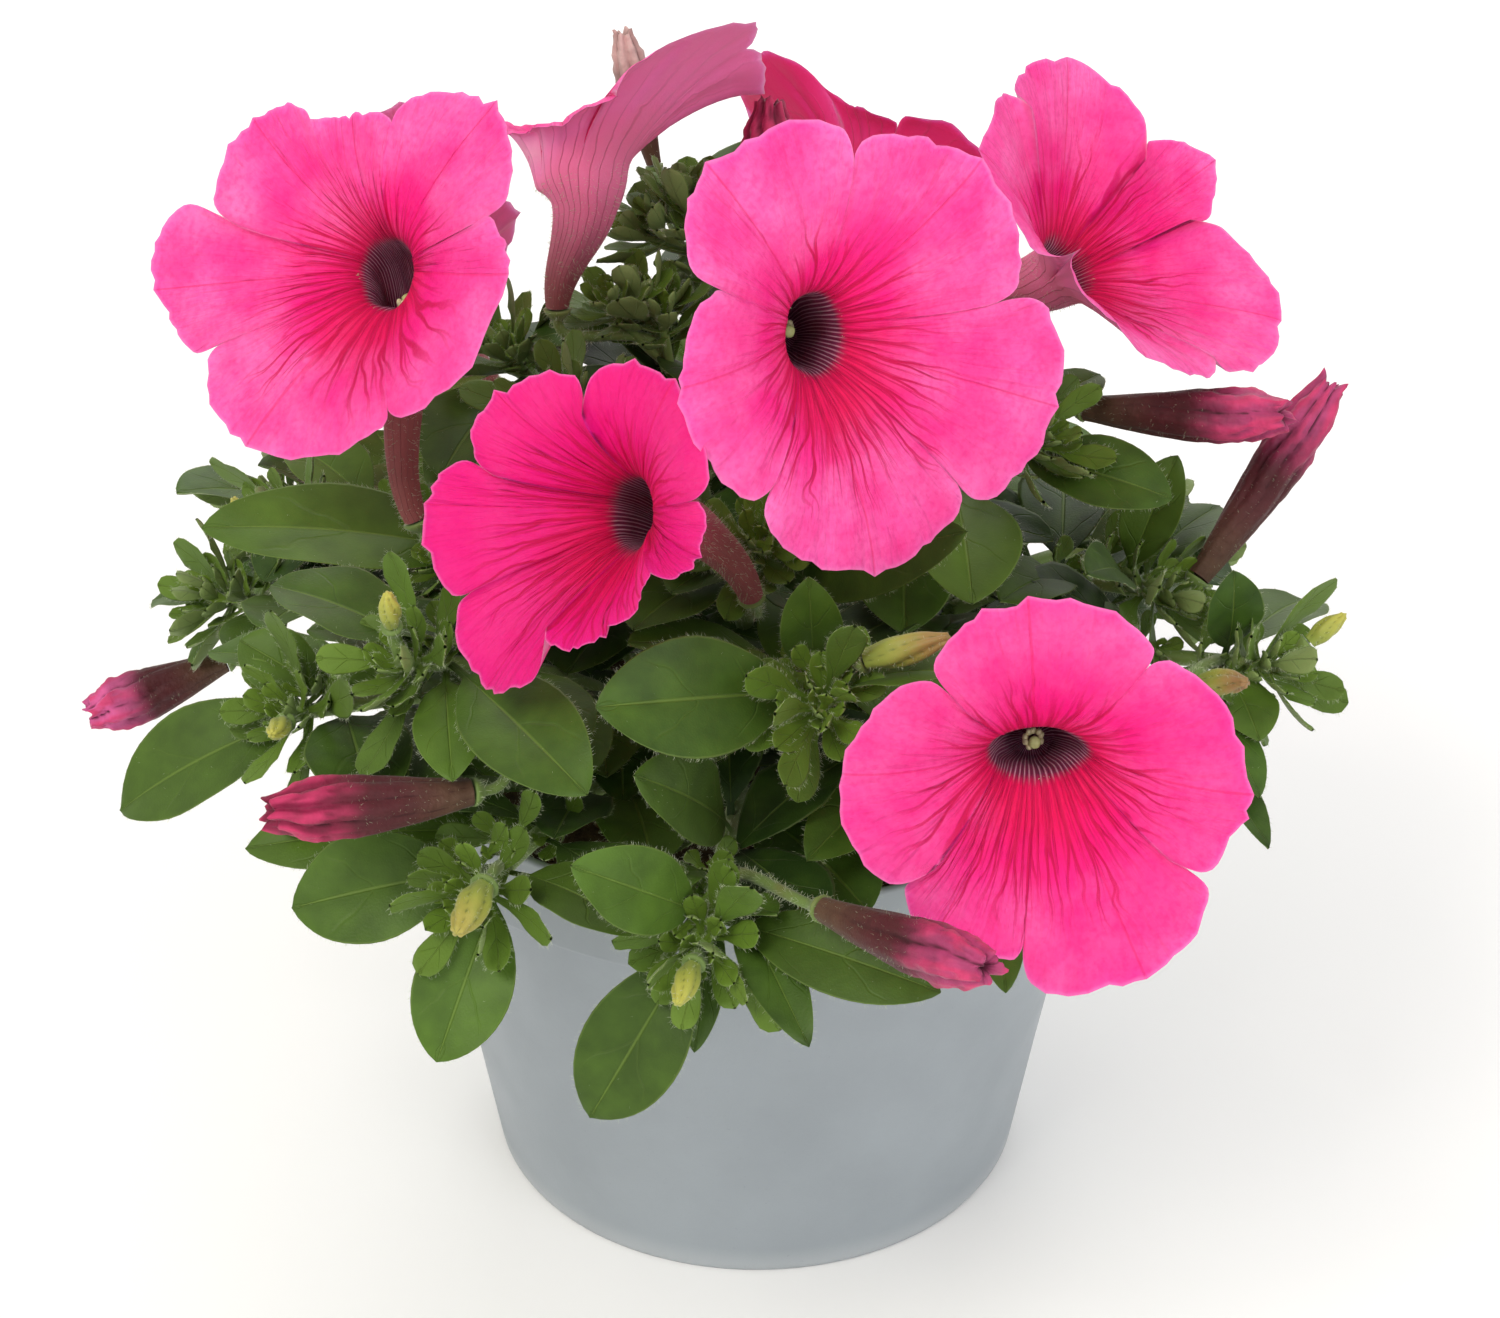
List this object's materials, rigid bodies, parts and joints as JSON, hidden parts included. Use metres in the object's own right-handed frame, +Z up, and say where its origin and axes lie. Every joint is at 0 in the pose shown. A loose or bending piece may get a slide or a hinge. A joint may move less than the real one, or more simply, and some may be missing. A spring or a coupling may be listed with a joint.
{
  "type": "potted trailing petunia",
  "caption": "Trailing petunia in a plain round plastic pot: pink trumpet-shaped blooms, buds and faded flowers over a low mound of leafy stems.",
  "frame": {"origin": "centre of the pot's flat underside, on the surface that it stands on", "axes": "+Z up along the pot's axis; the plant's front, with most of its open blooms, looks along -Y, and +X is to the right seen from the front"},
  "size_m": [0.2, 0.2242, 0.2082],
  "materials": {
    "pot_plastic": "matte moulded plastic",
    "peat_soil": "crumbly peat compost",
    "leaf_and_stem": "soft hairy leaf",
    "petal": "velvety petal",
    "wilted_petal": "wrinkled faded petal",
    "bud_tip": "soft bud",
    "pollen": "powdery"
  },
  "bodies": {
    "root": {"pot": "pot_plastic", "soil": "peat_soil", "corolla_left": "petal", "stamens_left": "pollen", "corolla_right": "petal", "stamens_right": "pollen", "corolla_centre": "petal", "stamens_centre": "pollen", "corolla_front_right": "petal", "stamens_front_right": "pollen", "corolla_far_right": "petal", "stamens_far_right": "pollen", "corolla_top": "petal", "corolla_back_top": "petal", "corolla_back_left_top": "petal", "corolla_back": "petal", "stamens_back": "pollen", "corolla_back_left": "petal", "stamens_back_left": "pollen", "trumpet_far_left": "wilted_petal", "trumpet_low_left": "wilted_petal", "trumpet_front": "wilted_petal", "trumpet_right": "wilted_petal", "trumpet_right_upright": "wilted_petal", "trumpet_top_dark": "wilted_petal", "trumpet_top_pale": "wilted_petal", "bud_front_left": "bud_tip", "bud_centre": "bud_tip", "bud_right": "bud_tip", "bud_front": "bud_tip", "bud_left_centre": "bud_tip", "bud_left_low": "bud_tip", "bud_left_back": "bud_tip", "bud_far_right": "bud_tip", "shoot_left_centre": "leaf_and_stem", "shoot_left_low": "leaf_and_stem", "shoot_front_left": "leaf_and_stem", "shoot_front": "leaf_and_stem", "shoot_centre": "leaf_and_stem", "shoot_front_right": "leaf_and_stem", "shoot_right_low": "leaf_and_stem", "shoot_right": "leaf_and_stem", "shoot_right_high": "leaf_and_stem", "shoot_left": "leaf_and_stem", "shoot_left_back": "leaf_and_stem", "shoot_top": "leaf_and_stem", "shoot_left_high": "leaf_and_stem", "shoot_centre_high": "leaf_and_stem", "shoot_top_right": "leaf_and_stem", "shoot_back_top": "leaf_and_stem", "shoot_back_left_high": "leaf_and_stem", "shoot_right_back": "leaf_and_stem", "shoot_back_right": "leaf_and_stem", "shoot_back": "leaf_and_stem", "shoot_back_left": "leaf_and_stem", "shoot_far_left": "leaf_and_stem", "shoot_inner_left": "leaf_and_stem", "shoot_inner_back": "leaf_and_stem"}
  },
  "joints": []
}
